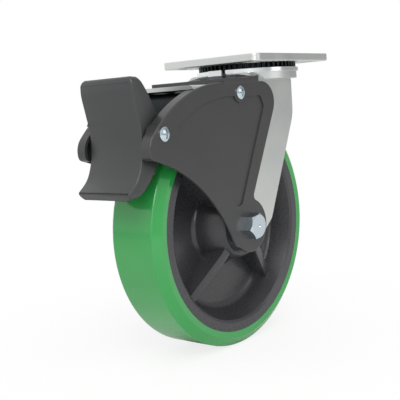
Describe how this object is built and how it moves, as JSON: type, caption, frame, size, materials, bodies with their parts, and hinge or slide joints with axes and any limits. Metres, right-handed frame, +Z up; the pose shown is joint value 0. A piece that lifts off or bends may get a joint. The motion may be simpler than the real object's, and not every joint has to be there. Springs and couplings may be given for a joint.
{
  "type": "swivel castor",
  "caption": "Swivel plate castor with a trailing polyurethane-tyred wheel and a moulded pedal that brakes the wheel and locks the swivel.",
  "frame": {"origin": "middle of the mounting plate's top face, on the swivel axis", "axes": "+Z up out of the plate's top face, +X the direction of travel with the wheel trailing towards -X, Y along the wheel's axle"},
  "size_m": [0.2449, 0.1052, 0.2413],
  "materials": {
    "zinc_plate": "bright zinc plated steel",
    "dark_steel": "black oxidised steel",
    "hard_steel": "ground hardened steel",
    "black_nylon": "moulded black nylon, fine grain",
    "core_nylon": "moulded glass filled nylon",
    "green_tread": "glossy green polyurethane",
    "brake_pad": "pale coated steel",
    "seal_rubber": "black rubber"
  },
  "bodies": {
    "plate": {"top_plate": "zinc_plate", "kingpin": "zinc_plate", "kingpin_nut": "zinc_plate", "lower_race": "hard_steel", "upper_race": "hard_steel", "swivel_lock_ring": "dark_steel"},
    "wheel": {"tread": "green_tread", "wheel_core": "core_nylon", "hub_race": "hard_steel", "hub_rollers": "hard_steel", "hub_seals": "seal_rubber"},
    "brake_lever": {"brake_lever": "dark_steel", "brake_shoe": "brake_pad", "lock_dog": "dark_steel"},
    "pedal": {"pedal": "black_nylon"},
    "fork": {"axle_bolt": "zinc_plate", "axle_nut": "zinc_plate", "axle_sleeve": "hard_steel", "axle_washer": "zinc_plate", "bridge_plate": "zinc_plate", "cover_screws": "zinc_plate", "dust_ring": "zinc_plate", "fork": "zinc_plate", "left_cover": "black_nylon", "lever_pin": "zinc_plate", "lower_balls": "hard_steel", "pedal_pin": "zinc_plate", "right_cover": "black_nylon", "roof_cover": "black_nylon", "upper_balls": "hard_steel", "weld_nuts": "zinc_plate"}
  },
  "joints": [
    {"name": "swivel", "type": "hinge", "parent": "plate", "child": "fork", "pos_m": [0, 0, -0.014], "axis": [0, 0, 1], "continuous": true},
    {"name": "wheel_spin", "type": "hinge", "parent": "fork", "child": "wheel", "pos_m": [-0.06, 0, -0.1397], "axis": [0, 1, 0], "continuous": true},
    {"name": "pedal_press", "type": "hinge", "parent": "fork", "child": "pedal", "pos_m": [-0.1589, 0, -0.0573], "axis": [0, 1, 0], "range_deg": [-16, 0]},
    {"name": "brake_lever_swing", "type": "hinge", "parent": "fork", "child": "brake_lever", "pos_m": [-0.09, 0, -0.0362], "axis": [0, 1, 0], "range_deg": [-3.5, 0]}
  ],
  "couplings": [
    {"joint": "brake_lever_swing", "follows": "pedal_press", "ratio": 0.21875}
  ]
}
